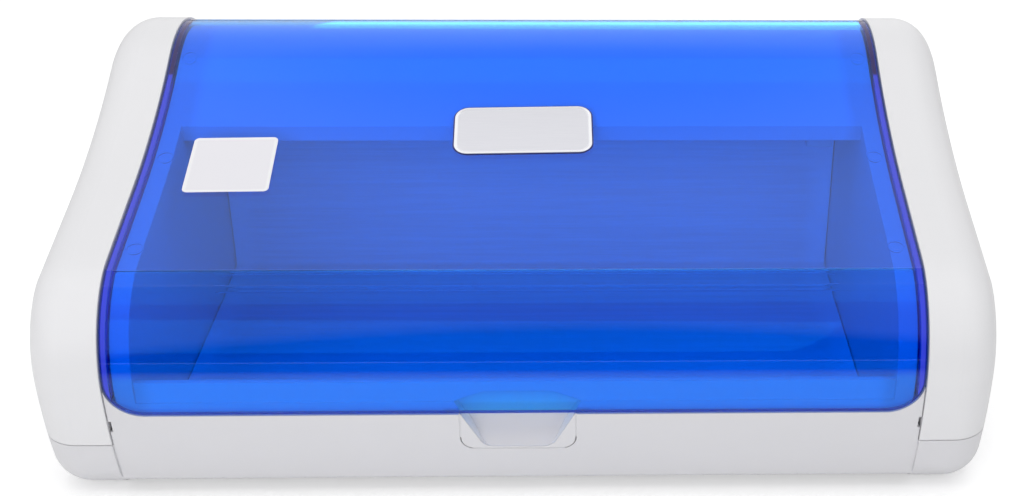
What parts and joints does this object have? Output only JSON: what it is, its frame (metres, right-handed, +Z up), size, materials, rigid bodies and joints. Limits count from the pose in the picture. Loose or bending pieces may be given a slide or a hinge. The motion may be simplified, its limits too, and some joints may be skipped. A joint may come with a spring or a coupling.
{
  "type": "uv disinfection box",
  "caption": "Bench-top disinfection box: low curved housing with rounded end caps, a see-through hinged door, a lamp and a metal-lined chamber.",
  "frame": {"origin": "middle of the footprint, on the surface that the rubber feet stand on", "axes": "+X to the right seen from the front, +Y towards the back, +Z up"},
  "size_m": [0.427, 0.2608, 0.1582],
  "materials": {
    "white_case": "moulded white plastic, satin gloss",
    "blue_clear": "clear blue moulded plastic, polished",
    "silver_plate": "bright bare plate with a rolled edge",
    "paper_label": "bare white film label",
    "plated_steel": "zinc-plated steel",
    "bright_sheet": "bright stainless sheet",
    "quartz": "clear quartz glass",
    "aluminium_cap": "drawn aluminium",
    "brass_pin": "plain brass",
    "socket_white": "white heat-proof plastic",
    "lamination": "varnished steel laminations",
    "coil_wrap": "taped copper winding",
    "starter_can": "drawn aluminium can",
    "switch_black": "black nylon",
    "plunger_red": "red nylon",
    "foot_rubber": "black rubber"
  },
  "bodies": {
    "housing": {"base_shell": "white_case", "left_side_cap": "white_case", "right_side_cap": "white_case", "upper_housing": "white_case", "back_panel": "white_case", "left_hinge_pin": "plated_steel", "right_hinge_pin": "plated_steel", "chamber_liner": "bright_sheet", "lamp_reflector": "bright_sheet", "left_lamp_socket": "socket_white", "right_lamp_socket": "socket_white", "ballast_core": "lamination", "ballast_coil": "coil_wrap", "starter": "starter_can", "starter_socket": "socket_white", "interlock_switch": "switch_black", "power_switch_housing": "switch_black", "mains_inlet": "switch_black", "inlet_pins": "brass_pin", "rubber_feet": "foot_rubber", "base_screws": "plated_steel", "back_screws": "plated_steel", "ballast_screws": "plated_steel"},
    "door": {"door_panel": "blue_clear", "name_plate": "silver_plate", "door_label": "paper_label"},
    "lamp": {"uv_tube": "quartz", "tube_caps": "aluminium_cap", "tube_pins": "brass_pin", "left_socket_rotor": "socket_white", "right_socket_rotor": "socket_white"},
    "plunger": {"interlock_plunger": "plunger_red"},
    "rocker": {"power_switch_rocker": "switch_black"}
  },
  "joints": [
    {"name": "door_hinge", "type": "hinge", "parent": "housing", "child": "door", "pos_m": [0, 0.06962, 0.09736], "axis": [-1, 0, 0], "range_deg": [0, 85]},
    {"name": "plunger_slide", "type": "slide", "parent": "housing", "child": "plunger", "axis": [0, -0.3226, 0.9465], "range_m": [0, 0.002]},
    {"name": "power_rocker", "type": "hinge", "parent": "housing", "child": "rocker", "pos_m": [-0.118, 0.11922, 0.058], "axis": [1, 0, 0], "range_deg": [0, 24]},
    {"name": "lamp_twist", "type": "hinge", "parent": "housing", "child": "lamp", "pos_m": [0, 0.03558, 0.12066], "axis": [1, 0, 0], "range_deg": [0, 90]}
  ],
  "couplings": [
    {"joint": "plunger_slide", "follows": "door_hinge", "m_per_rad": 0.001348}
  ]
}
